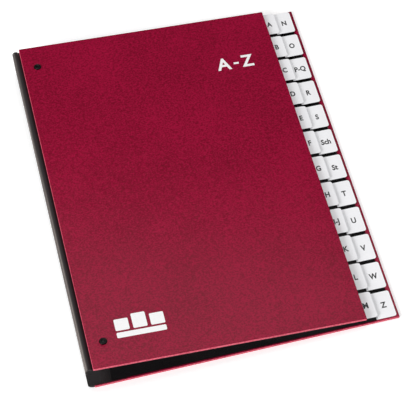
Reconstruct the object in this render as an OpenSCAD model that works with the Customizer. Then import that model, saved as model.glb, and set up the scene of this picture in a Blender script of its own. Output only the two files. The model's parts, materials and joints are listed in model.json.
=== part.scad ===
// A-Z desk sorter file: two hard covers, 24 divider leaves and a pleated cloth spine.
// +X runs from the spine to the index tabs, +Y along the spine towards the first row, +Z up.
// The origin is on the resting face, under the middle of the whole file.

/* [Covers] */
// Height of both covers, along the spine
cover_h = 340; // [260:1:400]
// Width of the back cover
back_w = 252; // [240:1:320]
// Width of the front cover, short enough to leave the tabs in sight
front_w = 224; // [200:1:230]
// Thickness of a finished cover: board, covering and lining
cover_t = 2.4; // [1.8:0.1:4]
// Thickness of the covering material and of the lining
skin_t = 0.25; // [0.15:0.05:0.4]
// Width of the covering that is turned in around the lining
turn_in = 5; // [3:0.5:12]
// Distance by which the front cover stands back from the back cover at the spine
front_inset = 1; // [0:0.5:3]

/* [Spine] */
// Height of one leaf's pleat at the spine
pleat_h = 0.95; // [0.8:0.01:1.5]
// Distance from the covers' edge to the outside of the pleats
bulge = 5; // [3:0.5:6]
// Height over which the lower edge of the spine is rounded
round_h = 4; // [3:0.5:12]
// Width of a pleat, from the outside of the spine to where the bare card begins
pleat_w = 11; // [8:0.5:20]
// Width of the cloth that is glued to the inside of each cover
cloth_w = 26; // [20:1:60]
// Thickness of the spine cloth
cloth_t = 0.3; // [0.2:0.05:0.35]
// Width of the groove between the cloth roll and the front cover's edge
groove_w = 1.2; // [0:0.1:2]

/* [Leaves] */
// Thickness of a leaf's card
card_t = 0.11; // [0.08:0.01:0.13]
// Height of a leaf, along the spine
leaf_h = 336.9; // [250:0.1:390]
// Height of the lower edge of the leaves above that of the covers
leaf_rise = 1; // [0:0.1:5]
// Height that one leaf takes up at its tab
edge_pitch = 0.14; // [0.14:0.01:0.3]
// Free height between the covers and the leaves
cover_gap = 0.3; // [0.3:0.05:1]
// Distance by which the front cover's free edge sinks into that height
edge_sag = 0.4; // [0:0.05:0.5]

/* [Tabs] */
// Width of an index tab
tab_w = 17; // [12:0.5:25]
// Distance from the covers' spine edge to the outer end of the inner row of tabs
inner_end = 234.5; // [228:0.5:238]
// Distance from the covers' spine edge to the outer end of the outer row of tabs
outer_end = 249.5; // [240:0.5:251]
// Distance between the lower edges of two neighbouring outer tabs
tab_step = 28.4; // [20:0.1:30]
// Distance by which the middle rows of tabs stand nearer to the first row
tab_arch = 1.6; // [0:0.1:3]
// Distance by which the outer tabs come further out from the first row to the last
row_slant = 1; // [0:0.1:2]
// Gap between two neighbouring tabs
tab_gap = 3.4; // [1:0.1:5]
// Height of the lowest outer tab above the leaf's lower edge
tab_rise = 0.5; // [0:0.1:3]
// Height of the lowest inner tab above the lowest outer one
inner_rise = 1.5; // [0:0.1:5]
// Radius of a tab's outer corners
tab_r = 2; // [1:0.5:4]

/* [Rivets] */
// Diameter of a rivet's head
rivet_d = 6.6; // [5:0.2:9]
// Height of the domed head on the front cover
rivet_h = 1.2; // [0.8:0.1:2]
// Diameter of a rivet's shank
shank_d = 4; // [3:0.1:4.4]
// Distance from the cover's spine edge to the rivets
rivet_inset = 12.8; // [8:0.2:16]
// Distance from the ends of the cover to the rivets
rivet_end = 24; // [12:1:60]

/* [Hidden] */
INDEX = ["a", "b", "c", "d", "e", "f", "g", "h", "i_j", "k", "l", "m",
         "n", "o", "p_q", "r", "s", "sch", "st", "t", "u", "v", "w", "z"];
COVER_PARTS = ["board", "wrap", "lining", "hinge_cloth", "rivet_upper", "rivet_lower"];

BORDEAUX = [0.54, 0.13, 0.24];
BLACK_PAPER = [0.11, 0.10, 0.11];
BLACK_CLOTH = [0.16, 0.15, 0.16];
GREYBOARD = [0.55, 0.52, 0.48];
TAB_WHITE = [0.90, 0.90, 0.92];
RIVET_BLACK = [0.06, 0.06, 0.06];

leaf_count = len(INDEX);
row_count = leaf_count / 2;
spine_x = -bulge;
slit = 0.05;         // free height between two pleats
hinge_clear = 0.03;  // distance from a hinge line to the pleats that turn on it
shank_fit = 0.1;     // the rivet holes' radius less the shank's
cloth_start = 0.4;   // where the front cloth begins, past its hinge line
roll_h = 1.5;        // height of the cloth roll beside the front cover's edge
head_depth = 0.8;    // depth to which the back rivets' heads are sunk
past = 1;            // how far a cutter runs past the face that it cuts
arc_steps = 6;

zone_spine = cover_t + cloth_t + cover_gap;  // lowest hinge line
zone_edge = cover_t + cover_gap;             // underside of the leaves at the outer tabs
board_t = cover_t - 2 * skin_t;
shank_hole = shank_d + 2 * shank_fit;
head_hole = rivet_d + 2 * shank_fit;
middle = [(back_w - bulge) / 2, cover_h / 2, 0];

// Height of the line between leaf k - 1 and leaf k, counted from the back cover, at x.
// Every line starts at the spine; the lower half run to the outer tabs, the rest to the inner ones.
function line_z(k, x) =
    k <= row_count
    ? mix(zone_spine + k * pleat_h, zone_edge + k * edge_pitch, (x - spine_x) / (outer_end - spine_x))
    : mix(zone_spine + k * pleat_h,
          line_z(row_count, inner_end) + (k - row_count) * edge_pitch,
          (x - spine_x) / (inner_end - spine_x));
function mix(a, b, t) = a + (b - a) * t;
function leaf_z(k, x) = (line_z(k, x) + line_z(k + 1, x)) / 2;

// Outside of the spine at height z: straight, with a rounded lower edge.
function spine_out(z) = z >= round_h ? -bulge : -bulge * sqrt(1 - pow(1 - z / round_h, 2));

function is_inner(i) = i < row_count;
function level(i) = leaf_count - 1 - i;
function row(i) = i % row_count;
function tab_end(i) = is_inner(i) ? inner_end : outer_end + row_slant * (row(i) / (row_count - 1) - 0.5);
function card_end(i) = tab_end(i) - tab_w;

// The rows count from the top. The top row ends at the leaf's edge, so its tabs are shorter.
leaf_top = leaf_rise + leaf_h;
first_row_y = leaf_rise + tab_rise + (row_count - 1) * tab_step;
function rise(i) = leaf_rise + tab_rise + (is_inner(i) ? inner_rise : 0);
function row_step(i) = (first_row_y - rise(i)) / (row_count - 1);
function arch(i) = let (t = row(i) / (row_count - 2)) tab_arch * max(0, 4 * t * (1 - t));
function tab_low(i) = rise(i) + (row_count - 1 - row(i)) * row_step(i) + arch(i);
function tab_top(i) = row(i) == 0 ? leaf_top : tab_low(i - 1) - tab_gap;

// Inclination of the front cover, and the line that it turns on.
front_tilt = atan((line_z(leaf_count, spine_x) - line_z(leaf_count, inner_end) + edge_sag)
                  / (inner_end - spine_x));
front_hinge = [spine_x, 0, line_z(leaf_count, spine_x)];
front_low = cover_gap + cloth_t;           // inside of the front cover, above its hinge line
front_edge = bulge + front_inset;          // its spine edge, from its hinge line
roll_end = front_edge - groove_w;          // end of the cloth roll beside it

// Places children so that the origin's X-Y corner becomes the middle of the file.
module centred() translate(-middle) children();

// Places children in the closed front cover's own frame: X along it from its hinge line.
module front_frame() centred() translate(front_hinge) rotate([0, front_tilt, 0]) children();

// Extrudes an outline in X and Z along the spine, from y0 to y1.
module along_spine(y0, y1) translate([0, y1, 0]) rotate([90, 0, 0]) linear_extrude(y1 - y0) children();

// A profile along the leaves' whole height.
module along_leaves() along_spine(leaf_rise, leaf_top) children();

// Shapes at both rivets of a cover whose spine edge is at x.
module at_rivets(x) {
    at_rivet(x, rivet_end) children();
    at_rivet(x, cover_h - rivet_end) children();
}
module at_rivet(x, y) translate([x + rivet_inset, y, 0]) children();

module rivet_hole(d) translate([0, 0, -past]) cylinder(d = d, h = 2 * cover_t + 2 * past, $fn = 48);

// The three layers of a cover w wide: its outside is at z = 0 and its inside at cover_t.
module cover_board(w)
    translate([skin_t, skin_t, skin_t]) cube([w - 2 * skin_t, cover_h - 2 * skin_t, board_t]);

module cover_lining(w)
    translate([turn_in, turn_in, skin_t + board_t])
        cube([w - 2 * turn_in, cover_h - 2 * turn_in, skin_t]);

module cover_wrap(w)
    difference() {
        cube([w, cover_h, cover_t]);
        cover_board(w);
        translate([turn_in, turn_in, skin_t + board_t])
            cube([w - 2 * turn_in, cover_h - 2 * turn_in, skin_t + past]);
    }

// Turns a cover's layers over, so that the outside is on top.
module front_cover_frame()
    front_frame() translate([front_edge, 0, front_low + cover_t]) mirror([0, 0, 1]) children();

// Domed head, shank and flange of a front rivet; z = 0 is the outside of the cover.
module domed_rivet() {
    inside = cover_t + cloth_t;
    rotate_extrude($fn = 64)
        polygon(concat(
            [[0, -inside], [rivet_d / 2, -inside], [rivet_d / 2, -cover_t],
             [shank_d / 2, -cover_t], [shank_d / 2, 0]],
            [for (s = [0 : arc_steps])
                [rivet_d / 2 * cos(90 * s / arc_steps), rivet_h * sin(90 * s / arc_steps)]]));
}

// A back rivet is set flush, so that the file lies flat.
module flush_rivet() {
    cylinder(d = rivet_d, h = head_depth, $fn = 64);
    translate([0, 0, head_depth]) cylinder(d = shank_d, h = cover_t - head_depth, $fn = 64);
    translate([0, 0, cover_t]) cylinder(d = rivet_d, h = cloth_t, $fn = 64);
}

// Back cover
module back_hole() {
    rivet_hole(shank_hole);
    translate([0, 0, -past]) cylinder(d = head_hole, h = past + head_depth + shank_fit, $fn = 48);
}

module back_board() color(GREYBOARD) centred()
    difference() { cover_board(back_w); at_rivets(0) back_hole(); }

module back_wrap() color(BORDEAUX) centred()
    difference() { cover_wrap(back_w); at_rivets(0) back_hole(); }

module back_lining() color(BLACK_PAPER) centred()
    difference() { cover_lining(back_w); at_rivets(0) rivet_hole(shank_hole); }

module back_hinge_cloth() color(BLACK_CLOTH) centred()
    difference() {
        along_leaves()
            polygon(concat(
                [for (s = [0 : arc_steps]) let (z = (cover_t + cloth_t) * s / arc_steps) [spine_out(z), z]],
                [[cloth_w, cover_t + cloth_t], [cloth_w, cover_t], [0, cover_t]]));
        at_rivets(0) translate([0, 0, cover_t]) rivet_hole(head_hole);
    }

module back_rivet(y) color(RIVET_BLACK) centred() at_rivet(0, y) flush_rivet();

// Front cover
module front_board() color(GREYBOARD) front_cover_frame()
    difference() { cover_board(front_w); at_rivets(0) rivet_hole(shank_hole); }

module front_wrap() color(BORDEAUX) front_cover_frame()
    difference() { cover_wrap(front_w); at_rivets(0) rivet_hole(shank_hole); }

module front_lining() color(BLACK_PAPER) front_cover_frame()
    difference() { cover_lining(front_w); at_rivets(0) rivet_hole(shank_hole); }

module front_hinge_cloth() color(BLACK_CLOTH) front_frame()
    difference() {
        along_leaves()
            polygon(concat(
                [[cloth_start, cover_gap], [front_edge + cloth_w, cover_gap],
                 [front_edge + cloth_w, front_low]],
                [for (s = [0 : arc_steps]) let (a = 180 * s / arc_steps)
                    [mix(cloth_start, roll_end, (1 + cos(a)) / 2), front_low + roll_h * sin(a)]]));
        at_rivets(front_edge) rivet_hole(head_hole);
    }

module front_rivet(y) color(RIVET_BLACK)
    front_frame() translate([0, 0, front_low + cover_t]) at_rivet(front_edge, y) domed_rivet();

// Leaf i, counted from the front cover: a card whose spine edge is wrapped in a cloth pleat.
module leaf(i) {
    k = level(i);
    low = line_z(k, spine_x);
    high = line_z(k + 1, spine_x);
    pleat_end = spine_x + pleat_w;
    color(BLACK_PAPER) centred() along_leaves()
        polygon([
            [spine_out(low) + hinge_clear, line_z(k, spine_out(low)) + slit / 2],
            [pleat_end, line_z(k, pleat_end) + slit / 2],
            [pleat_end, leaf_z(k, pleat_end) - card_t / 2],
            [card_end(i), leaf_z(k, card_end(i)) - card_t / 2],
            [card_end(i), leaf_z(k, card_end(i)) + card_t / 2],
            [pleat_end, leaf_z(k, pleat_end) + card_t / 2],
            [pleat_end, line_z(k + 1, pleat_end) - slit / 2],
            [spine_out(high) + hinge_clear, line_z(k + 1, spine_out(high)) - slit / 2]]);
}

// Index tab of leaf i: it continues the card, with rounded outer corners.
module tab(i) {
    k = level(i);
    x0 = card_end(i);
    x1 = tab_end(i);
    color(TAB_WHITE) centred()
        intersection() {
            along_spine(tab_low(i), tab_top(i))
                polygon([[x0, leaf_z(k, x0) - card_t / 2], [x1, leaf_z(k, x1) - card_t / 2],
                         [x1, leaf_z(k, x1) + card_t / 2], [x0, leaf_z(k, x0) + card_t / 2]]);
            linear_extrude(line_z(leaf_count, spine_x)) tab_outline(x0, x1, tab_low(i), tab_top(i));
        }
}

module tab_outline(x0, x1, y0, y1)
    polygon(concat(
        [[x0, y0]],
        [for (s = [0 : arc_steps]) let (a = 90 * s / arc_steps - 90)
            [x1 - tab_r + tab_r * cos(a), y0 + tab_r + tab_r * sin(a)]],
        [for (s = [0 : arc_steps]) let (a = 90 * s / arc_steps)
            [x1 - tab_r + tab_r * cos(a), y1 - tab_r + tab_r * sin(a)]],
        [[x0, y1]]));

back_board();
back_wrap();
back_lining();
back_hinge_cloth();
back_rivet(cover_h - rivet_end);  // back_rivet_upper
back_rivet(rivet_end);  // back_rivet_lower
for (i = [0 : leaf_count - 1]) {
    leaf(i);
    tab(i);
}
front_board();
front_wrap();
front_lining();
front_hinge_cloth();
front_rivet(cover_h - rivet_end);  // front_rivet_upper
front_rivet(rivet_end);  // front_rivet_lower
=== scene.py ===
"""Looks of the A-Z desk sorter file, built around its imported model.

The file lies closed on its back cover: +X runs from the spine to the index tabs, +Y along the
spine and +Z up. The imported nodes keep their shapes, and get their finishes here. New pieces are
the covers' wrapped edges, the rivets, the cloth of the spine, the letters and the cover's print.
"""

import json
import logging
import math
from collections.abc import Iterable, Sequence
from dataclasses import dataclass
from enum import Enum
from typing import Any, Optional, Union

import bmesh
import bpy
from mathutils import Matrix, Vector, noise

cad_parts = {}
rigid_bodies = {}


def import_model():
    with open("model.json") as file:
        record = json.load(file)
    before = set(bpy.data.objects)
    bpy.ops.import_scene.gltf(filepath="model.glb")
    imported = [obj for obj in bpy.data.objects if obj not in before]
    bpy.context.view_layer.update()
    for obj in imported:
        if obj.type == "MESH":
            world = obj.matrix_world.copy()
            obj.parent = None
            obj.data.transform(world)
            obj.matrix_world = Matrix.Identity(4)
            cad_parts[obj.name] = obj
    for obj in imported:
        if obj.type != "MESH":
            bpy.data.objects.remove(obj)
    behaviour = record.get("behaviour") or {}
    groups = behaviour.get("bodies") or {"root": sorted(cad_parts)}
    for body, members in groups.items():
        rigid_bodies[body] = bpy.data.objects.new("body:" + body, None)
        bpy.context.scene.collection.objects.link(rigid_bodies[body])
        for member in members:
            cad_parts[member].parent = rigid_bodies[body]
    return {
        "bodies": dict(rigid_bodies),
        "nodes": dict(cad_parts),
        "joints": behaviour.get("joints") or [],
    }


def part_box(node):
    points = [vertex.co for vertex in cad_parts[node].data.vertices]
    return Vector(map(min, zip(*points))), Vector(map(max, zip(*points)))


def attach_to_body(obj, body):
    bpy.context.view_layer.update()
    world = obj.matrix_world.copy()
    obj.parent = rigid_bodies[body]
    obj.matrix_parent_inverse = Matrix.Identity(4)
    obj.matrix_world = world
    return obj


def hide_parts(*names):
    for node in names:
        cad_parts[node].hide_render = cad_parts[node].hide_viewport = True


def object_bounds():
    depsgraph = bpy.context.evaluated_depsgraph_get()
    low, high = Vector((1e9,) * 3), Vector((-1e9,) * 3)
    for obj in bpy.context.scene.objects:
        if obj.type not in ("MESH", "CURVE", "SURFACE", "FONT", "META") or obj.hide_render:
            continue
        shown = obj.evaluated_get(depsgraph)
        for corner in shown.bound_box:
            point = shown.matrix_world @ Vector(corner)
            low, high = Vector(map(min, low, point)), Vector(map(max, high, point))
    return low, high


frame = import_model()
CAD_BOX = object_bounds()
log = logging.getLogger("sorter")

MM = 0.001
TOUCH = 0.001 * MM  # points nearer than this are one
Colour = tuple[float, float, float]
Point = tuple[float, float]
Value = Union["Socket", float, Colour]


# ---------------------------------------------------------------- shader expressions


class Socket:
    """A node's output in a shader expression, where each operator adds a Math node."""

    def __init__(self, tree: "MaterialTree", output: bpy.types.NodeSocket) -> None:
        """Keeps the output, and the tree that further nodes go to."""
        self.tree, self.output = tree, output

    def math(self, operation: str, *values: Value) -> "Socket":
        """One Math node.

        Args:
            operation: The Math node's operation.
            values: Its inputs, in order.

        Returns:
            The node's result.
        """
        return self.tree.add("ShaderNodeMath", {"operation": operation}, dict(enumerate(values)))

    def __add__(self, other: Value) -> "Socket":
        """self + other."""
        return self.math("ADD", self, other)

    def __radd__(self, other: Value) -> "Socket":
        """other + self."""
        return self.math("ADD", other, self)

    def __sub__(self, other: Value) -> "Socket":
        """self - other."""
        return self.math("SUBTRACT", self, other)

    def __rsub__(self, other: Value) -> "Socket":
        """other - self."""
        return self.math("SUBTRACT", other, self)

    def __mul__(self, other: Value) -> "Socket":
        """self * other."""
        return self.math("MULTIPLY", self, other)

    def __rmul__(self, other: Value) -> "Socket":
        """other * self."""
        return self.math("MULTIPLY", other, self)

    def __truediv__(self, other: Value) -> "Socket":
        """self / other."""
        return self.math("DIVIDE", self, other)

    def sine(self) -> "Socket":
        """The sine of self, in radians."""
        return self.math("SINE", self)

    def at_least(self, other: Value) -> "Socket":
        """The larger of self and other."""
        return self.math("MAXIMUM", self, other)

    def held(self) -> "Socket":
        """Self, kept from 0 to 1."""
        return self.math("MINIMUM", self.at_least(0.0), 1.0)


class MaterialTree:
    """The node tree of one material."""

    def __init__(self, name: str) -> None:
        """Makes an empty material."""
        self.material = bpy.data.materials.new(name)
        self.material.use_nodes = True
        self.tree = self.material.node_tree
        self.tree.nodes.clear()

    def add(
        self,
        kind: str,
        settings: Optional[dict[str, Any]] = None,
        values: Optional[dict[Union[int, str], Value]] = None,
        output: Union[int, str] = 0,
    ) -> Socket:
        """Adds any node.

        Args:
            kind: The node's type.
            settings: Its properties, set first; "stops" are a ramp's positions and colours.
            values: A value or a link for each input that differs from its default.
            output: The output that is wanted.

        Returns:
            That output, or an empty socket for a node that has none.
        """
        node = self.tree.nodes.new(kind)
        for key, setting in (settings or {}).items():
            if key == "stops":
                for element, (position, colour) in zip(node.color_ramp.elements, setting):
                    element.position, element.color = position, (*colour, 1.0)
            else:
                setattr(node, key, setting)
        for key, value in (values or {}).items():
            entry = node.inputs[key]
            if isinstance(value, Socket):
                self.tree.links.new(value.output, entry)
            else:
                entry.default_value = (*value, 1.0) if entry.type == "RGBA" else value
        return Socket(self, node.outputs[output] if len(node.outputs) else None)

    def place(self) -> Socket:
        """The object's own coordinates."""
        return self.add("ShaderNodeTexCoord", output="Object")

    def unrolled(self) -> Socket:
        """The piece's own UV map: a cloth's flat cut, in metres."""
        return self.add("ShaderNodeTexCoord", output="UV")

    def scaled(self, place: Socket, scale: Colour, turn: Colour = (0.0, 0.0, 0.0)) -> Socket:
        """Stretches and turns coordinates.

        Args:
            place: The coordinates.
            scale: The factor on each axis.
            turn: The turn about each axis, in radians.

        Returns:
            The new coordinates.
        """
        values = {"Vector": place, "Scale": scale, "Rotation": turn}
        return self.add("ShaderNodeMapping", None, values)

    def axis(self, place: Socket, name: str) -> Socket:
        """One coordinate, "X", "Y" or "Z"."""
        return self.add("ShaderNodeSeparateXYZ", None, {0: place}, name)

    def noise(self, place: Socket, size: float, detail: float = 2.0, rough: float = 0.5) -> Socket:
        """Smooth noise.

        Args:
            place: The coordinates that it follows.
            size: The size of its largest features, in metres.
            detail: How many finer octaves it has.
            rough: The strength of each finer octave.

        Returns:
            A value from 0 to 1.
        """
        return self.add(
            "ShaderNodeTexNoise",
            None,
            {"Vector": place, "Scale": 1.0 / size, "Detail": detail, "Roughness": rough},
        )

    def distance(self, place: Socket, centre: Sequence[float]) -> Socket:
        """Distance from a point, in metres."""
        ends = {0: place, 1: tuple(centre)}
        return self.add("ShaderNodeVectorMath", {"operation": "DISTANCE"}, ends, "Value")

    def mix(self, start: Value, end: Value, share: Value) -> Socket:
        """Mixes two colours; a share of 0 is the first and 1 the second."""
        return self.add("ShaderNodeMix", {"data_type": "RGBA"}, {0: share, 6: start, 7: end}, 2)

    def bump(self, height: Socket) -> Socket:
        """A normal from a height in millimetres."""
        return self.add("ShaderNodeBump", None, {"Height": height, "Distance": MM})

    def surface(self, **values: Value) -> bpy.types.Material:
        """Closes the tree with a Principled shader.

        Args:
            values: Its inputs, with "_" for a space in their names.

        Returns:
            The material.
        """
        inputs = {name.replace("_", " "): value for name, value in values.items()}
        shader = self.add("ShaderNodeBsdfPrincipled", None, inputs)
        self.add("ShaderNodeOutputMaterial", None, {"Surface": shader})
        return self.material


# ---------------------------------------------------------------- finishes


@dataclass(frozen=True)
class Covering:
    """Bordeaux covering: fine dark and pale flecks, cloudy, satin, dented round the rivets."""

    name: str
    deep: Colour = (0.165, 0.0004, 0.015)
    pale: Colour = (0.325, 0.0022, 0.036)
    fleck: float = 1.5 * MM
    cloud: float = 55 * MM
    grain: float = 0.018
    roughness: float = 0.18
    specular: float = 0.09
    contrast: float = 5.5
    rivets: tuple[tuple[float, float, float], ...] = ()
    dent_reach: float = 6.0 * MM
    dent_depth: float = 0.55

    def material(self) -> bpy.types.Material:
        """The finish as a material."""
        tree = MaterialTree(self.name)
        place = tree.place()
        flecks = tree.noise(place, self.fleck, 3.0, 0.62)
        fibres = tree.noise(tree.scaled(place, (1.0, 2.6, 1.0), (0, 0, 0.9)), self.fleck * 1.1, 2.0)
        clouds = tree.noise(place, self.cloud, 2.0)
        mottle = (flecks * 0.6 + fibres * 0.4 - 0.5) * self.contrast + (clouds - 0.5) * 0.7 + 0.5
        height = (flecks + fibres) * self.grain
        for rivet in self.rivets:
            near = (1.0 - tree.distance(place, rivet) / self.dent_reach).held()
            height = height - near * near * self.dent_depth
        return tree.surface(
            Base_Color=tree.mix(self.deep, self.pale, mottle.held()),
            Roughness=self.roughness + (flecks - 0.5) * 0.16,
            Normal=tree.bump(height),
            Specular_IOR_Level=self.specular,
        )


@dataclass(frozen=True)
class Paper:
    """Uncoated card or paper: fibres lie all ways, and tint it a little."""

    name: str
    deep: Colour
    pale: Colour
    roughness: float
    fibre: float = 0.8 * MM
    grain: float = 0.010
    specular: float = 0.5

    def material(self) -> bpy.types.Material:
        """The finish as a material."""
        tree = MaterialTree(self.name)
        place = tree.place()
        along = tree.noise(tree.scaled(place, (1.0, 0.35, 1.0)), self.fibre, 3.0, 0.6)
        across = tree.noise(tree.scaled(place, (0.4, 1.0, 1.0), (0, 0, 0.6)), self.fibre, 3.0, 0.6)
        clouds = tree.noise(place, self.fibre * 40)
        fibres = along * 0.5 + across * 0.5
        return tree.surface(
            Base_Color=tree.mix(self.deep, self.pale, ((fibres + clouds - 1.0) * 1.6 + 0.5).held()),
            Roughness=self.roughness + (fibres - 0.5) * 0.2,
            Normal=tree.bump(fibres * self.grain),
            Specular_IOR_Level=self.specular,
        )


@dataclass(frozen=True)
class WovenCloth:
    """Black bookbinding cloth: a plain weave, with a painted highlight in pale streaks along the
    spine's upper outer edge.
    """

    name: str
    unrolled: bool
    deep: Colour = (0.0070, 0.0055, 0.0060)
    pale: Colour = (0.030, 0.021, 0.023)
    # Pale grey of the painted highlight on the spine's upper outer slope, which faces the left
    # light.
    scuff_and_highlight: Colour = (0.46, 0.40, 0.37)
    highlight_from: float = 0.0
    highlight_over: float = 3.0 * MM
    highlight_above: float = 19 * MM
    highlight_rise: float = 7 * MM
    streak: float = 7.0 * MM
    thread: float = 0.45 * MM
    relief: float = 0.035
    roughness: float = 0.62

    def material(self) -> bpy.types.Material:
        """The finish as a material."""
        tree = MaterialTree(self.name)
        place = tree.unrolled() if self.unrolled else tree.place()
        turns = math.pi / self.thread
        warp = (tree.axis(place, "X") * turns).sine()
        weft = (tree.axis(place, "Y") * turns).sine()
        over = warp * weft * 0.5 + 0.5
        fuzz = tree.noise(place, self.thread * 1.6, 3.0, 0.65)
        streaks = tree.noise(tree.scaled(place, (1.0, 0.04, 1.0)), self.thread * 3.0, 2.0)
        shade = (over * 0.45 + (fuzz - 0.5) * 0.8 + (streaks - 0.5) * 0.9 + 0.22).held()
        colour = tree.mix(self.deep, self.pale, shade)
        if self.unrolled:
            # Painted highlight: the outermost few millimetres of the spine, above a set height,
            # turn pale grey in streaks.
            rest = tree.place()
            crest = ((self.highlight_from - tree.axis(rest, "X")) / self.highlight_over).held()
            highlight_gate = tree.noise(tree.scaled(rest, (1.0, 0.02, 1.0)), self.streak, 3.0, 0.7)
            marks = ((highlight_gate - 0.5) * 3.0 + 0.62).held()
            upper = ((tree.axis(rest, "Z") - self.highlight_above) / self.highlight_rise).held()
            colour = tree.mix(colour, self.scuff_and_highlight, crest * crest * upper * marks)
        return tree.surface(
            Base_Color=colour,
            Roughness=self.roughness + (fuzz - 0.5) * 0.25,
            Normal=tree.bump(over * self.relief + fuzz * self.relief * 0.6),
            Specular_IOR_Level=0.25,
            Sheen_Weight=0.06,
            Sheen_Roughness=0.4,
        )


@dataclass(frozen=True)
class Enamel:
    """Black stoving enamel on a steel rivet, with fine rub marks."""

    name: str
    colour: Colour = (0.0014, 0.0008, 0.0009)
    scuff_and_highlight: Colour = (0.007, 0.004, 0.004)
    roughness: float = 0.18
    rub: float = 0.5 * MM

    def material(self) -> bpy.types.Material:
        """The finish as a material."""
        tree = MaterialTree(self.name)
        place = tree.place()
        rubs = tree.noise(tree.scaled(place, (1.0, 0.3, 1.0), (0, 0, 0.5)), self.rub, 3.0, 0.6)
        marks = ((rubs - 0.56) * 6.0).held()
        return tree.surface(
            Base_Color=tree.mix(self.colour, self.scuff_and_highlight, marks),
            Roughness=self.roughness + marks * 0.2 + (rubs - 0.5) * 0.1,
            Normal=tree.bump(rubs * 0.006),
            Specular_IOR_Level=0.14,
        )


@dataclass(frozen=True)
class PrintInk:
    """Screen-printed ink, which takes a little unevenly on the grain below it."""

    name: str
    colour: Colour
    thin: Colour
    roughness: float = 0.45
    patch: float = 0.5 * MM

    def material(self) -> bpy.types.Material:
        """The finish as a material."""
        tree = MaterialTree(self.name)
        place = tree.place()
        cover = tree.noise(place, self.patch, 3.0, 0.6)
        return tree.surface(
            Base_Color=tree.mix(self.thin, self.colour, ((cover - 0.3) * 5.0).held()),
            Roughness=self.roughness + (cover - 0.5) * 0.2,
            Normal=tree.bump(cover * 0.006),
        )


@dataclass(frozen=True)
class StudioFloor:
    """Seamless pale studio paper, lit a little from below."""

    name: str = "studio_floor"
    colour: Colour = (0.95, 0.95, 0.95)
    glow: float = 0.28

    def material(self) -> bpy.types.Material:
        """The finish as a material."""
        tree = MaterialTree(self.name)
        tone = tree.noise(tree.place(), 0.4)
        pale = tuple(min(1.0, channel * 1.02) for channel in self.colour)
        return tree.surface(
            Base_Color=tree.mix(self.colour, pale, tone),
            Roughness=0.8,
            Emission_Color=self.colour,
            Emission_Strength=self.glow,
        )


# ---------------------------------------------------------------- shapes


@dataclass(frozen=True)
class Plate:
    """A flat node's own axes, which start at its upper face's low corner on the spine side."""

    corner: Vector
    along: Vector
    up: Vector
    length: float
    width: float

    @classmethod
    def of(cls, node: str) -> "Plate":
        """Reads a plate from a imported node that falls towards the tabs.

        Args:
            node: The node's name.

        Returns:
            The plate's axes and its size.
        """
        points = [v.co for v in frame["nodes"][node].data.vertices]
        low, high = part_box(node)
        spine = max(points, key=lambda p: round(p.z / MM, 4))
        far = max(points, key=lambda p: (round(p.x / MM, 4), p.z))
        run = Vector((far.x - spine.x, 0.0, far.z - spine.z))
        along = run.normalized()
        corner = Vector((spine.x, low.y, spine.z))
        return cls(corner, along, Vector((-along.z, 0.0, along.x)), run.length, high.y - low.y)

    def matrix(self) -> Matrix:
        """From the plate's own coordinates to the file's."""
        across = Vector((0.0, 1.0, 0.0))
        turn = Matrix((self.along, across, self.up)).transposed()
        return Matrix.Translation(self.corner) @ turn.to_4x4()


def outline(node: str) -> list[Vector]:
    """The corners of a node's outline in X and Z, in order of X and then of Z."""
    points = {(round(v.co.x, 7), round(v.co.z, 7)) for v in frame["nodes"][node].data.vertices}
    return [Vector(p) for p in sorted(points)]


def finished(name: str, bm: bmesh.types.BMesh, *finishes: bpy.types.Material) -> bpy.types.Object:
    """Turns a shape into an object.

    Args:
        name: The piece's name.
        bm: Its shape, which is freed.
        finishes: The materials that its faces' indices count.

    Returns:
        The object, at the origin.
    """
    mesh = bpy.data.meshes.new(name)
    bm.to_mesh(mesh)
    bm.free()
    for finish in finishes:
        mesh.materials.append(finish)
    piece = bpy.data.objects.new(name, mesh)
    bpy.context.scene.collection.objects.link(piece)
    return piece


def attach(piece: bpy.types.Object, body: str, slot: str, *stands_for: str) -> bpy.types.Object:
    """Lets a piece ride on a body.

    Args:
        piece: The finished piece.
        body: The body that it moves with.
        slot: Not used.
        stands_for: Nodes that it is shown instead of.

    Returns:
        The same piece.
    """
    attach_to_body(piece, body)
    if stands_for:
        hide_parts(*stands_for)
    log.info("%s rides on %s", piece.name, body)
    return piece


def dress(node: str, finish: bpy.types.Material) -> None:
    """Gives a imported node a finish.

    Args:
        node: The node's name.
        finish: Its material.
    """
    data = frame["nodes"][node].data
    if not data.materials:
        data.materials.append(finish)
    for i in range(len(data.materials)):
        data.materials[i] = finish
    log.info("%s has the finish %s", node, finish.name)


def turned(profile: Iterable[Point], steps: int) -> bmesh.types.BMesh:
    """Turns a closed profile about Z.

    Args:
        profile: Radius and height of each point, from the axis round to the axis.
        steps: The number of steps in a full turn.

    Returns:
        The solid.
    """
    bm = bmesh.new()
    points = [bm.verts.new((r, 0.0, z)) for r, z in profile]
    edges = [bm.edges.new(pair) for pair in zip(points, points[1:])]
    bmesh.ops.spin(
        bm, geom=points + edges, cent=(0, 0, 0), axis=(0, 0, 1), dvec=(0, 0, 0),
        angle=math.tau, steps=steps, use_merge=True, use_duplicate=False,
    )
    bmesh.ops.remove_doubles(bm, verts=bm.verts, dist=TOUCH)
    bmesh.ops.recalc_face_normals(bm, faces=bm.faces)
    for face in bm.faces:
        face.smooth = True
    return bm


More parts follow.
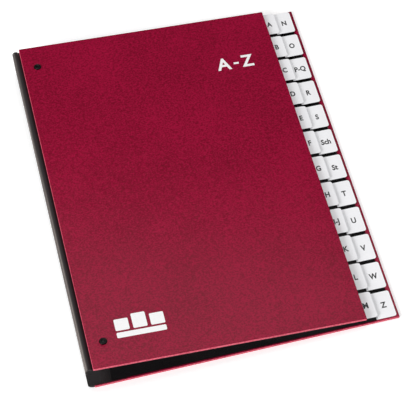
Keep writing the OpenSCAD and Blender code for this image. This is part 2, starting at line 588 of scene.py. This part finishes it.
def lettering(text: str, bold: float = 0.0) -> bmesh.types.BMesh:
    """Flat letters as a solid one unit thick, in the units of the built-in face.

    Args:
        text: The letters.
        bold: The distance that the strokes grow by on each side.

    Returns:
        The letters, with their middle over the origin.
    """
    curve = bpy.data.curves.new("lettering", "FONT")
    curve.body, curve.align_x = text, "CENTER"
    curve.resolution_u, curve.offset, curve.extrude = 3, bold, 0.5
    holder = bpy.data.objects.new("lettering", curve)
    bpy.context.scene.collection.objects.link(holder)
    mesh = bpy.data.meshes.new_from_object(
        holder.evaluated_get(bpy.context.evaluated_depsgraph_get())
    )
    bm = bmesh.new()
    bm.from_mesh(mesh)
    bpy.data.objects.remove(holder)
    bpy.data.meshes.remove(mesh)
    bmesh.ops.remove_doubles(bm, verts=bm.verts, dist=0.0001)
    return bm


def reach(bm: bmesh.types.BMesh) -> tuple[Vector, Vector]:
    """The lowest and the highest corner of a shape."""
    low = Vector([min(v.co[i] for v in bm.verts) for i in range(3)])
    high = Vector([max(v.co[i] for v in bm.verts) for i in range(3)])
    return low, high


def join(parts: Iterable[bmesh.types.BMesh]) -> bmesh.types.BMesh:
    """Puts several shapes into one, and frees them.

    Args:
        parts: The shapes.

    Returns:
        The joined shape.
    """
    whole = bmesh.new()
    for part in parts:
        carrier = bpy.data.meshes.new("carrier")
        part.to_mesh(carrier)
        part.free()
        whole.from_mesh(carrier)
        bpy.data.meshes.remove(carrier)
    return whole


def fitted(bm: bmesh.types.BMesh, low: Point, high: Point, thickness: float) -> bmesh.types.BMesh:
    """Fits a flat shape into a rectangle, with its underside at Z 0.

    Args:
        bm: The shape.
        low: The rectangle's low corner.
        high: Its high corner.
        thickness: The new thickness.

    Returns:
        The same shape.
    """
    start, end = reach(bm)
    size = end - start
    scale = ((high[0] - low[0]) / size.x, (high[1] - low[1]) / size.y, thickness / size.z)
    bmesh.ops.translate(bm, vec=-start, verts=bm.verts)
    bmesh.ops.scale(bm, vec=scale, verts=bm.verts)
    bmesh.ops.translate(bm, vec=(*low, 0.0), verts=bm.verts)
    return bm


@dataclass
class ClothStrip:
    """A strip of cloth along the spine: a profile in X and Z, drawn out along Y."""

    name: str
    profile: list[Vector]
    slack: list[float]
    start: float
    end: float
    rows: int = 40
    thickness: float = 0.05 * MM
    ripple: float = 0.06 * MM
    ripple_length: float = 17 * MM

    def flat_width(self) -> float:
        """The length of the profile."""
        return sum((b - a).length for a, b in zip(self.profile, self.profile[1:]))

    def build(self, finish: bpy.types.Material) -> bpy.types.Object:
        """Makes the strip, with its flat cut as UV map.

        Args:
            finish: The cloth's material.

        Returns:
            The piece.
        """
        bm = bmesh.new()
        cut = bm.verts.layers.float.new("cut")
        loose = bm.verts.layers.float.new("loose")
        run, before, line = 0.0, self.profile[0], []
        for point, slack in zip(self.profile, self.slack):
            run += (point - before).length
            before = point
            vert = bm.verts.new((point.x, self.start, point.y))
            vert[cut], vert[loose] = run, slack
            line.append(vert)
        edges = [bm.edges.new(pair) for pair in zip(line, line[1:])]
        step = (self.end - self.start) / self.rows
        for _ in range(self.rows):
            grown = bmesh.ops.extrude_edge_only(bm, edges=edges)["geom"]
            edges = [g for g in grown if isinstance(g, bmesh.types.BMEdge)]
            moved = [g for g in grown if isinstance(g, bmesh.types.BMVert)]
            bmesh.ops.translate(bm, vec=(0.0, step, 0.0), verts=moved)
        for vert in bm.verts:
            seed = Vector((vert.co.y / self.ripple_length, vert.co.z / MM * 0.7, 0.0))
            vert.co.x += vert[loose] * self.ripple * noise.noise(seed)
        self._face_outwards(bm)
        chart = bm.loops.layers.uv.new("cut")
        for face in bm.faces:
            face.smooth = True
            for corner in face.loops:
                corner[chart].uv = (corner.vert[cut], corner.vert.co.y)
        piece = finished(self.name, bm, finish)
        wall = piece.modifiers.new("thickness", "SOLIDIFY")
        wall.thickness, wall.offset = self.thickness, -1.0
        return piece

    def _face_outwards(self, bm: bmesh.types.BMesh) -> None:
        """Turns the faces so that the outermost one looks away from the leaves.

        Args:
            bm: The strip's shape.
        """
        bmesh.ops.recalc_face_normals(bm, faces=bm.faces)
        bm.normal_update()
        outermost = min(bm.faces, key=lambda f: f.calc_center_median().x)
        if outermost.normal.x > 0:
            bmesh.ops.reverse_faces(bm, faces=bm.faces)


# ---------------------------------------------------------------- the file's parts


class Side(Enum):
    """One of the two covers."""

    BACK = "back"
    FRONT = "front"

    @property
    def body(self) -> str:
        """The cover's body."""
        return f"{self.value}_cover"


@dataclass
class Cover:
    """A board wrapped in bordeaux covering, lined with black paper and riveted to the spine."""

    side: Side
    covering: bpy.types.Material
    # The paler finish of the edges that look towards the key light: a painted highlight.
    lit_edge_covering: bpy.types.Material
    lining: bpy.types.Material
    greyboard: bpy.types.Material
    thickness: float = 2.4 * MM
    skin: float = 0.25 * MM
    turn_in: float = 5.0 * MM
    fold: float = 0.7 * MM
    step: float = 0.02 * MM
    # How far a face must look towards -X or -Y to get the painted highlight of the edges.
    highlight_gate: float = 0.3

    def plate(self) -> Plate:
        """The cover's outside as a plate; the back cover's looks down."""
        if self.side is Side.FRONT:
            return Plate.of("front_wrap")
        low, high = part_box("back_wrap")
        size = high - low
        return Plate(low.copy(), Vector((1, 0, 0)), Vector((0, 0, 1)), size.x, size.y)

    def matrix(self) -> Matrix:
        """From a cover that lies on its outside to its place in the file."""
        plate = self.plate()
        if self.side is Side.BACK:
            return plate.matrix()
        over = Matrix.Translation((0.0, plate.width, 0.0)) @ Matrix.Rotation(math.pi, 4, "X")
        return plate.matrix() @ over

    def build(self) -> None:
        """Makes the wrapped covering and dresses the layers."""
        plate = self.plate()
        length = plate.length
        if self.side is Side.FRONT:
            length = round(length, 6)
        size = Vector((length, plate.width, self.thickness))
        bm = bmesh.new()
        bmesh.ops.create_cube(bm, size=1.0)
        bmesh.ops.scale(bm, vec=size, verts=bm.verts)
        bmesh.ops.translate(bm, vec=size / 2, verts=bm.verts)
        bmesh.ops.bevel(
            bm, geom=bm.edges[:], offset=self.fold, offset_type="OFFSET", segments=3,
            profile=0.5, affect="EDGES", material=-1,
        )
        inside = max(bm.faces, key=lambda f: f.calc_center_median().z)
        bmesh.ops.inset_region(bm, faces=[inside], thickness=self.turn_in - self.fold)
        bmesh.ops.inset_region(bm, faces=[inside], thickness=self.step, depth=-self.skin)
        bmesh.ops.transform(bm, matrix=self.matrix(), verts=bm.verts)
        self._paint_edge_highlight(bm)
        node = f"{self.side.value}_wrap"
        piece = finished(f"{self.side.value}_covering", bm, self.covering, self.lit_edge_covering)
        attach(piece, self.side.body, "covering", node)
        dress(f"{self.side.value}_board", self.greyboard)
        dress(f"{self.side.value}_lining", self.lining)

    def _paint_edge_highlight(self, bm: bmesh.types.BMesh) -> None:
        """Gives the edges at the spine and at the lower end, which look towards the key light,
        their paler finish: a painted highlight.
        """
        bm.normal_update()
        for face in bm.faces:
            face.material_index = 1 if min(face.normal.x, face.normal.y) < -self.highlight_gate else 0


@dataclass
class Rivets:
    """Tubular rivets that hold the spine cloth: a rolled black ring round a hollow."""

    finish: bpy.types.Material
    radius: float = 3.3 * MM
    shank: float = 2.0 * MM
    roll: float = 0.95 * MM
    hollow: float = 1.15 * MM
    depth: float = -0.12 * MM
    flange: float = 0.35 * MM
    through: float = 2.7 * MM
    sunk: float = 0.45 * MM
    sunk_roll: float = 0.4 * MM
    steps: int = 40

    def build(self) -> None:
        """Makes all four rivets."""
        for end in ("upper", "lower"):
            self._front(f"front_rivet_{end}")
            self._back(f"back_rivet_{end}")

    def _profile(self, roll: float, inside: float, depth: float) -> list[Point]:
        """A rivet's half section.

        Args:
            roll: The height of the rolled ring over the cover.
            inside: The distance from the cover's outside to the end of the shank.
            depth: The depth of the hollow, below the cover's outside.

        Returns:
            Radius and height of each point.
        """
        middle = (self.radius + self.hollow) / 2
        half = (self.radius - self.hollow) / 2
        ring = [
            (middle - half * math.cos(math.pi * i / 10), roll * math.sin(math.pi * i / 10))
            for i in range(11)
        ]
        return [
            (0.0, -depth), (self.hollow * 0.8, -depth), (self.hollow, -depth * 0.8),
            *ring,
            (self.shank, 0.0), (self.shank, self.flange - inside),
            (self.radius * 0.94, self.flange - inside), (self.radius, self.flange * 0.5 - inside),
            (self.radius * 0.94, -inside), (0.0, -inside),
        ]

    def _front(self, node: str) -> None:
        """Makes one rivet of the front cover.

        Args:
            node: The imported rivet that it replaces.
        """
        plate = Plate.of("front_wrap")
        low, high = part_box(node)
        middle = (low + high) / 2
        flat = (middle - plate.corner).dot(plate.along)
        centre = plate.corner + plate.along * flat + Vector((0, middle.y - plate.corner.y, 0))
        bm = turned(self._profile(self.roll, self.through, self.depth), self.steps)
        turn = plate.matrix().to_3x3().to_4x4()
        bmesh.ops.transform(bm, matrix=Matrix.Translation(centre) @ turn, verts=bm.verts)
        attach(finished(f"{node}_ring", bm, self.finish), "front_cover", "rivet", node)

    def _back(self, node: str) -> None:
        """Makes one rivet of the back cover, rolled in flush with its outside.

        Args:
            node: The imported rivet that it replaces.
        """
        low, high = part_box(node)
        middle = (low + high) / 2
        inside = high.z - low.z - self.sunk
        bm = turned(self._profile(self.sunk_roll, inside, self.depth), self.steps)
        over = Matrix.Rotation(math.pi, 4, "X")
        place = Matrix.Translation((middle.x, middle.y, low.z + self.sunk)) @ over
        bmesh.ops.transform(bm, matrix=place, verts=bm.verts)
        attach(finished(f"{node}_ring", bm, self.finish), "back_cover", "rivet", node)


@dataclass
class ClothSpine:
    """The pleated cloth: one pleat round each leaf, and a strip on the inside of each cover."""

    finish: bpy.types.Material
    flat_finish: bpy.types.Material
    lift: float = 0.012 * MM
    bead: float = 0.26 * MM
    bead_steps: int = 10
    strip: float = 8.0 * MM
    overhang: float = 0.05 * MM
    corner: float = 0.15 * MM
    hinge_gap: float = 0.014 * MM
    stand_off: float = 0.03 * MM
    roll: float = 1.5 * MM
    roll_start: float = 0.4 * MM
    groove: float = 1.2 * MM
    rounding: float = 4.0 * MM
    bulge: float = 5.0 * MM
    cover: float = 2.4 * MM
    cloth: float = 0.3 * MM
    glued: float = 26 * MM
    flat_until: float = 1.2 * MM
    turn_up: tuple[Point, ...] = (
        (0.50 * MM, 0.14 * MM), (0.36 * MM, 0.12 * MM), (0.37 * MM, 0.30 * MM),
    )
    roll_steps: int = 12
    roll_slack: float = 0.5
    fold_in: float = 0.6 * MM
    fold_clear: float = 0.05 * MM
    fold_drop: float = 0.12 * MM
    heights: tuple[float, ...] = (0.86, 0.7, 0.54, 0.39, 0.26, 0.15, 0.07, 0.02)
    tuck: Point = (0.02 * MM, 0.01 * MM)
    groove_clear: float = 0.01 * MM

    def __post_init__(self) -> None:
        """Finds each body's own hinge line, and the one above it."""
        self.below = {j["child"]: Vector((j["pos_m"][0], j["pos_m"][2])) for j in frame["joints"]}
        self.above = {j["parent"]: Vector((j["pos_m"][0], j["pos_m"][2])) for j in frame["joints"]}
        low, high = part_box("leaf_a")
        self.start, self.end = low.y - self.overhang, high.y + self.overhang

    def build(self) -> None:
        """Makes all the strips."""
        for body in (name for name in frame["bodies"] if name.startswith("divider_")):
            self._pleat(body)
        self._back_strip()
        self._front_strip()
        dress("back_hinge_cloth", self.flat_finish)
        dress("front_hinge_cloth", self.flat_finish)

    def _strip(
        self, name: str, points: list[Vector], slack: list[float], body: str
    ) -> None:
        """Makes one strip, which rides on a body.

        Args:
            name: The piece's name.
            points: The profile.
            slack: How freely each of its points ripples, from 0 to 1.
            body: The body.
        """
        cloth = ClothStrip(name, points, slack, self.start, self.end)
        piece = cloth.build(self.finish)
        flat = (cloth.flat_width(), self.end - self.start)
        attach(piece, body, "spine_cloth")

    def _pleat(self, body: str) -> None:
        """Makes the pleat round one leaf's spine edge.

        Args:
            body: The leaf's body.
        """
        leaf = body.replace("divider_", "leaf_")
        corners = outline(leaf)
        outer = sorted(corners[:2], key=lambda p: p.y)
        block_low, card_low, card_high, block_high = corners[-6:-2]
        end_low, end_high = corners[-2:]
        upper = self._flap(outer[1], block_high, card_high, end_high, 1.0)
        lower = self._flap(outer[0], block_low, card_low, end_low, -1.0)
        low, high = self.below[body], self.above[body]
        middle, half = (low + high) / 2, (high - low) / 2
        half = half * (1.0 - self.hinge_gap / half.length)
        out = Vector((-half.y, half.x)).normalized()
        angles = [math.pi * i / self.bead_steps for i in range(self.bead_steps + 1)]
        bead = [middle + half * math.cos(a) + out * (self.bead * math.sin(a)) for a in angles]
        points = upper + bead + lower[::-1]
        slack = [0.0] * len(upper) + [math.sin(a) for a in angles] + [0.0] * len(lower)
        self._strip(body.replace("divider_", "pleat_"), points, slack, body)

    def _flap(
        self, outer: Vector, block: Vector, card: Vector, end: Vector, sign: float
    ) -> list[Vector]:
        """One face of a pleat, from its free end on the card to the spine.

        Args:
            outer: The pleat block's corner at the spine.
            block: Its corner at the card.
            card: The card's start.
            end: The card's end at the tabs.
            sign: 1 for the upper face and -1 for the lower one.

        Returns:
            The points, in X and Z.
        """
        fall = (end - card) / (end.x - card.x)
        off = Vector((0.0, sign * self.lift))
        height = abs(block.y - card.y)
        start = card + fall * self.strip + off
        toe = card + fall * (height * 1.2) + off
        knee = card + Vector((self.corner * 0.4, sign * height * 0.62))
        top = block + (outer - block).normalized() * self.corner + off
        back = outer + (block - outer).normalized() * self.corner + off
        return [start, toe, knee, top, back]

    def _back_strip(self) -> None:
        """The cloth from the back cover's inside, round under the first pleat, to its edge."""
        low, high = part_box("back_hinge_cloth")
        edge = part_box("back_wrap")[0].x
        hinge = self.below["divider_z"]
        inside = high.z + self.stand_off
        points = [Vector((x, inside)) for x in (high.x, edge, hinge.x + self.fold_in)]
        points.append(Vector((hinge.x + self.fold_clear, hinge.y - self.fold_drop)))
        for share in self.heights:
            z = hinge.y * share
            reach_out = self.bulge * math.sqrt(1.0 - (1.0 - z / self.rounding) ** 2)
            points.append(Vector((edge - reach_out - self.stand_off, z)))
        points.append(Vector((edge - self.tuck[0], self.tuck[1])))
        slack = [0.0] * len(points)
        self._strip("back_hinge_strip", points, slack, "back_cover")

    def _front_strip(self) -> None:
        """The cloth from the front cover's inside, round its roll beside the cover's edge."""
        plate = Plate.of("front_wrap")
        hinge = self.above["divider_a"]
        along = Vector((plate.along.x, plate.along.z))
        up = Vector((plate.up.x, plate.up.z))
        corner = Vector((plate.corner.x, plate.corner.z)) - hinge
        edge, base = corner.dot(along), corner.dot(up) - self.cover
        far = edge + self.glued
        under = base - self.cloth - self.stand_off
        flat = [(far, under), (edge, under), (self.flat_until, under), *self.turn_up]
        slack = [0.0] * len(flat)
        width = (edge - self.groove - self.roll_start) / 2
        middle = (edge - self.groove + self.roll_start) / 2
        grown = self.roll + self.stand_off
        for i in range(2, self.roll_steps):
            angle = math.pi * (1.0 - i / self.roll_steps)
            x = middle + (width + self.stand_off) * math.cos(angle)
            flat.append((x, base + grown * math.sin(angle)))
            slack.append(self.roll_slack)
        flat.append((edge - self.groove + self.stand_off, base + self.stand_off))
        flat.append((edge - self.groove_clear, base + self.stand_off))
        slack += [0.0, 0.0]
        points = [hinge + along * x + up * z for x, z in flat]
        self._strip("front_hinge_strip", points, slack, "front_cover")


class Row(Enum):
    """The two rows of index tabs, and how far their letters stand off the tabs' middle."""

    INNER = 1.5 * MM
    OUTER = 0.75 * MM


@dataclass
class Dividers:
    """The 24 leaves and their index tabs, with a letter on both faces of each tab."""

    card: bpy.types.Material
    tab: bpy.types.Material
    ink: bpy.types.Material
    cap_height: float = 5.6 * MM
    bold: float = 0.034
    narrow: float = 0.83
    thickness: float = 0.018 * MM
    clear: float = 0.001 * MM
    rows_apart: float = 5 * MM

    def build(self) -> None:
        """Dresses the leaves and prints the tabs."""
        sample = lettering("H", self.bold)
        low, high = reach(sample)
        sample.free()
        self.scale = self.cap_height / (high.y - low.y)
        reach_in = min(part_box(n)[1].x for n in frame["nodes"] if n.startswith("tab_"))
        for body in (name for name in frame["bodies"] if name.startswith("divider_")):
            suffix = body.removeprefix("divider_")
            dress(f"leaf_{suffix}", self.card)
            dress(f"tab_{suffix}", self.tab)
            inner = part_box(f"tab_{suffix}")[1].x < reach_in + self.rows_apart
            self._letters(suffix, body, Row.INNER if inner else Row.OUTER)

    def _letters(self, suffix: str, body: str, row: Row) -> None:
        """Prints both faces of one tab.

        Args:
            suffix: The leaf's name without its prefix.
            body: The leaf's body.
            row: The row that its tab is in.
        """
        label = "-".join(part.capitalize() for part in suffix.split("_"))
        plate = Plate.of(f"tab_{suffix}")
        low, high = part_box(f"tab_{suffix}")
        points = [v.co for v in frame["nodes"][f"tab_{suffix}"].data.vertices]
        at_start = [p.z for p in points if p.x < low.x + TOUCH]
        card = max(at_start) - min(at_start)
        faces = []
        for over in (False, True):
            bm = lettering(label, self.bold)
            first, last = reach(bm)
            shift = (-(first.x + last.x) / 2, -self.cap_height / self.scale / 2, 0.5)
            bmesh.ops.translate(bm, vec=shift, verts=bm.verts)
            size = (self.scale * self.narrow, self.scale, self.thickness)
            bmesh.ops.scale(bm, vec=size, verts=bm.verts)
            bmesh.ops.translate(bm, vec=(0.0, 0.0, self.clear), verts=bm.verts)
            turn = Matrix.Rotation(math.pi, 4, "Y") if over else Matrix.Identity(4)
            middle = (plate.length / 2 + row.value, plate.width / 2, -card if over else 0.0)
            place = plate.matrix() @ Matrix.Translation(middle) @ turn
            bmesh.ops.transform(bm, matrix=place, verts=bm.verts)
            faces.append(bm)
        attach(finished(f"letters_{suffix}", join(faces), self.ink), body, "tab")


@dataclass
class CoverPrint:
    """What is printed on the front cover: the title, and a plain mark that says nothing."""

    ink: bpy.types.Material
    thickness: float = 0.03 * MM
    bold: float = 0.022
    corner: float = 1.0 * MM

    def build(self) -> None:
        """Prints the title and the mark."""
        glyphs = [
            ("A", (168.4, 278.9), (181.2, 292.4)),
            ("-", (183.8, 283.8), (188.4, 285.9)),
            ("Z", (190.9, 279.2), (202.0, 292.6)),
        ]
        parts = [
            fitted(lettering(g, self.bold), self._mm(low), self._mm(high), self.thickness)
            for g, low, high in glyphs
        ]
        self._lay("cover_title", join(parts))
        blocks = [
            ((24.5, 24.3), (65.0, 29.3)),
            ((24.5, 31.1), (36.0, 42.0)),
            ((39.0, 31.1), (50.5, 45.0)),
            ((53.5, 31.1), (65.0, 42.0)),
        ]
        self._lay("cover_mark", join(self._block(*block) for block in blocks))

    def _mm(self, point: Point) -> Point:
        """A point in millimetres as one in metres."""
        return (point[0] * MM, point[1] * MM)

    def _block(self, low: Point, high: Point) -> bmesh.types.BMesh:
        """A printed block with rounded corners.

        Args:
            low: Its low corner on the cover, in millimetres.
            high: Its high corner.

        Returns:
            The block.
        """
        bm = bmesh.new()
        bmesh.ops.create_cube(bm, size=1.0)
        fitted(bm, self._mm(low), self._mm(high), self.thickness)
        least = self.thickness / 2
        upright = [e for e in bm.edges if abs(e.verts[0].co.z - e.verts[1].co.z) > least]
        bmesh.ops.bevel(
            bm, geom=upright, offset=self.corner, offset_type="OFFSET", segments=5,
            profile=0.5, affect="EDGES", material=-1,
        )
        return bm

    def _lay(self, name: str, bm: bmesh.types.BMesh) -> None:
        """Lays a print on the cover."""
        bmesh.ops.transform(bm, matrix=Plate.of("front_wrap").matrix(), verts=bm.verts)
        attach(finished(name, bm, self.ink), "front_cover", "tab")


# ---------------------------------------------------------------- studio


@dataclass
class Softbox:
    """A square studio light that is aimed at the file."""

    name: str
    place: tuple[float, float, float]
    side: float
    power: float
    colour: Colour = (1.0, 1.0, 1.0)

    def build(self) -> None:
        """Hangs the light."""
        lamp = bpy.data.lights.new(self.name, "AREA")
        lamp.shape, lamp.size = "SQUARE", self.side
        lamp.energy, lamp.color = self.power, self.colour
        holder = bpy.data.objects.new(self.name, lamp)
        holder.location = self.place
        holder.rotation_mode = "QUATERNION"
        holder.rotation_quaternion = (-Vector(self.place)).to_track_quat("-Z", "Y")
        bpy.context.scene.collection.objects.link(holder)


@dataclass
class Studio:
    """The floor, the lights and the camera."""

    aim: tuple[float, float, float] = (3.9 * MM, -23.0 * MM, 0.0)
    distance: float = 1537.5 * MM
    azimuth: float = 9.704
    elevation: float = 54.605
    roll: float = -4.543
    lens: float = 156.79
    sensor: float = 36.0
    floor_size: float = 6.0
    floor_drop: float = 0.05 * MM
    sky: float = 0.37

    def build(self) -> None:
        """Sets up the whole studio."""
        self._floor()
        self._sky()
        for light in (
            Softbox("key_light", (-1.7, -1.15, 1.15), 1.0, 43.0),
            Softbox("top_light", (0.2, 0.86, 2.6), 1.6, 24.0),
            Softbox("fill_light", (1.8, -0.6, 1.6), 1.2, 2.0),
        ):
            light.build()
        self._camera()
        bpy.context.scene.view_settings.view_transform = "Standard"

    def _floor(self) -> None:
        """A wide pale floor."""
        bm = bmesh.new()
        bmesh.ops.create_grid(bm, x_segments=8, y_segments=8, size=self.floor_size / 2)
        bmesh.ops.translate(bm, vec=(0.0, 0.0, CAD_BOX[0].z - self.floor_drop), verts=bm.verts)
        finished("floor", bm, StudioFloor().material())

    def _sky(self) -> None:
        """Even white light from all round."""
        world = bpy.data.worlds.new("studio")
        world.use_nodes = True
        background = world.node_tree.nodes["Background"]
        background.inputs["Color"].default_value = (1.0, 1.0, 1.0, 1.0)
        background.inputs["Strength"].default_value = self.sky
        bpy.context.scene.world = world

    def _camera(self) -> None:
        """The camera, which looks down on the file from beside its lower edge."""
        azimuth, elevation = math.radians(self.azimuth), math.radians(self.elevation)
        ahead = Vector((
            math.cos(elevation) * math.sin(azimuth),
            math.cos(elevation) * math.cos(azimuth),
            -math.sin(elevation),
        ))
        level = ahead.cross(Vector((0.0, 0.0, 1.0))).normalized()
        rise = level.cross(ahead)
        roll = math.radians(self.roll)
        right = level * math.cos(roll) + rise * math.sin(roll)
        above = right.cross(ahead)
        data = bpy.data.cameras.new("camera")
        data.lens, data.sensor_width = self.lens, self.sensor
        data.clip_start, data.clip_end = 0.01, 20.0
        camera = bpy.data.objects.new("camera", data)
        turn = Matrix((right, above, -ahead)).transposed().to_4x4()
        camera.matrix_world = Matrix.Translation(Vector(self.aim) - ahead * self.distance) @ turn
        bpy.context.scene.collection.objects.link(camera)
        bpy.context.scene.camera = camera


def rivet_centres(side: Side) -> tuple[tuple[float, float, float], ...]:
    """Where a cover's rivets meet its outside.

    Args:
        side: The cover.

    Returns:
        The middle of each dent.
    """
    dome = 0.8 * MM
    centres = []
    for end in ("upper", "lower"):
        low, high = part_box(f"{side.value}_rivet_{end}")
        middle = (low + high) / 2
        centres.append((middle.x, middle.y, high.z - dome if side is Side.FRONT else low.z))
    return tuple(centres)


def main() -> None:
    """Builds the file's parts in order, and then the studio."""
    logging.basicConfig(level=logging.INFO, format="%(name)s: %(message)s")
    # A paler copy of the covering, painted as the highlight that the spine-side and lower edges
    # catch from the key light.
    edge = Covering("covering_lit_edge", deep=(0.50, 0.060, 0.100), pale=(0.72, 0.130, 0.190))
    lining = Paper(
        "lining_paper", (0.0020, 0.0018, 0.0020), (0.0045, 0.0041, 0.0045), 0.62, specular=0.08
    )
    greyboard = Paper("greyboard", (0.19, 0.17, 0.14), (0.34, 0.31, 0.27), 0.85)
    card = Paper(
        "black_card", (0.0038, 0.0031, 0.0037), (0.0088, 0.0073, 0.0083), 0.6, specular=0.08
    )
    tab = Paper("tab_card", (0.84, 0.84, 0.86), (0.90, 0.90, 0.92), 0.4, grain=0.004)
    black_ink = PrintInk("index_ink", (0.004, 0.004, 0.0045), (0.012, 0.012, 0.013))
    white_ink = PrintInk("white_print", (0.90, 0.90, 0.90), (0.80, 0.78, 0.79))
    lit_edge_finish, lining_finish = edge.material(), lining.material()
    board_finish = greyboard.material()
    for side in Side:
        covering = Covering(f"{side.value}_bordeaux", rivets=rivet_centres(side)).material()
        Cover(side, covering, lit_edge_finish, lining_finish, board_finish).build()
    Rivets(Enamel("rivet_enamel").material()).build()
    # How far in from the spine's outermost side the painted highlight reaches.
    highlight_inset = 2.8 * MM
    ClothSpine(
        WovenCloth("pleat_cloth", True, highlight_from=CAD_BOX[0].x + highlight_inset).material(),
        WovenCloth("hinge_cloth", False).material(),
    ).build()
    Dividers(card.material(), tab.material(), black_ink.material()).build()
    CoverPrint(white_ink.material()).build()
    Studio().build()


if __name__ == "__main__":
    main()
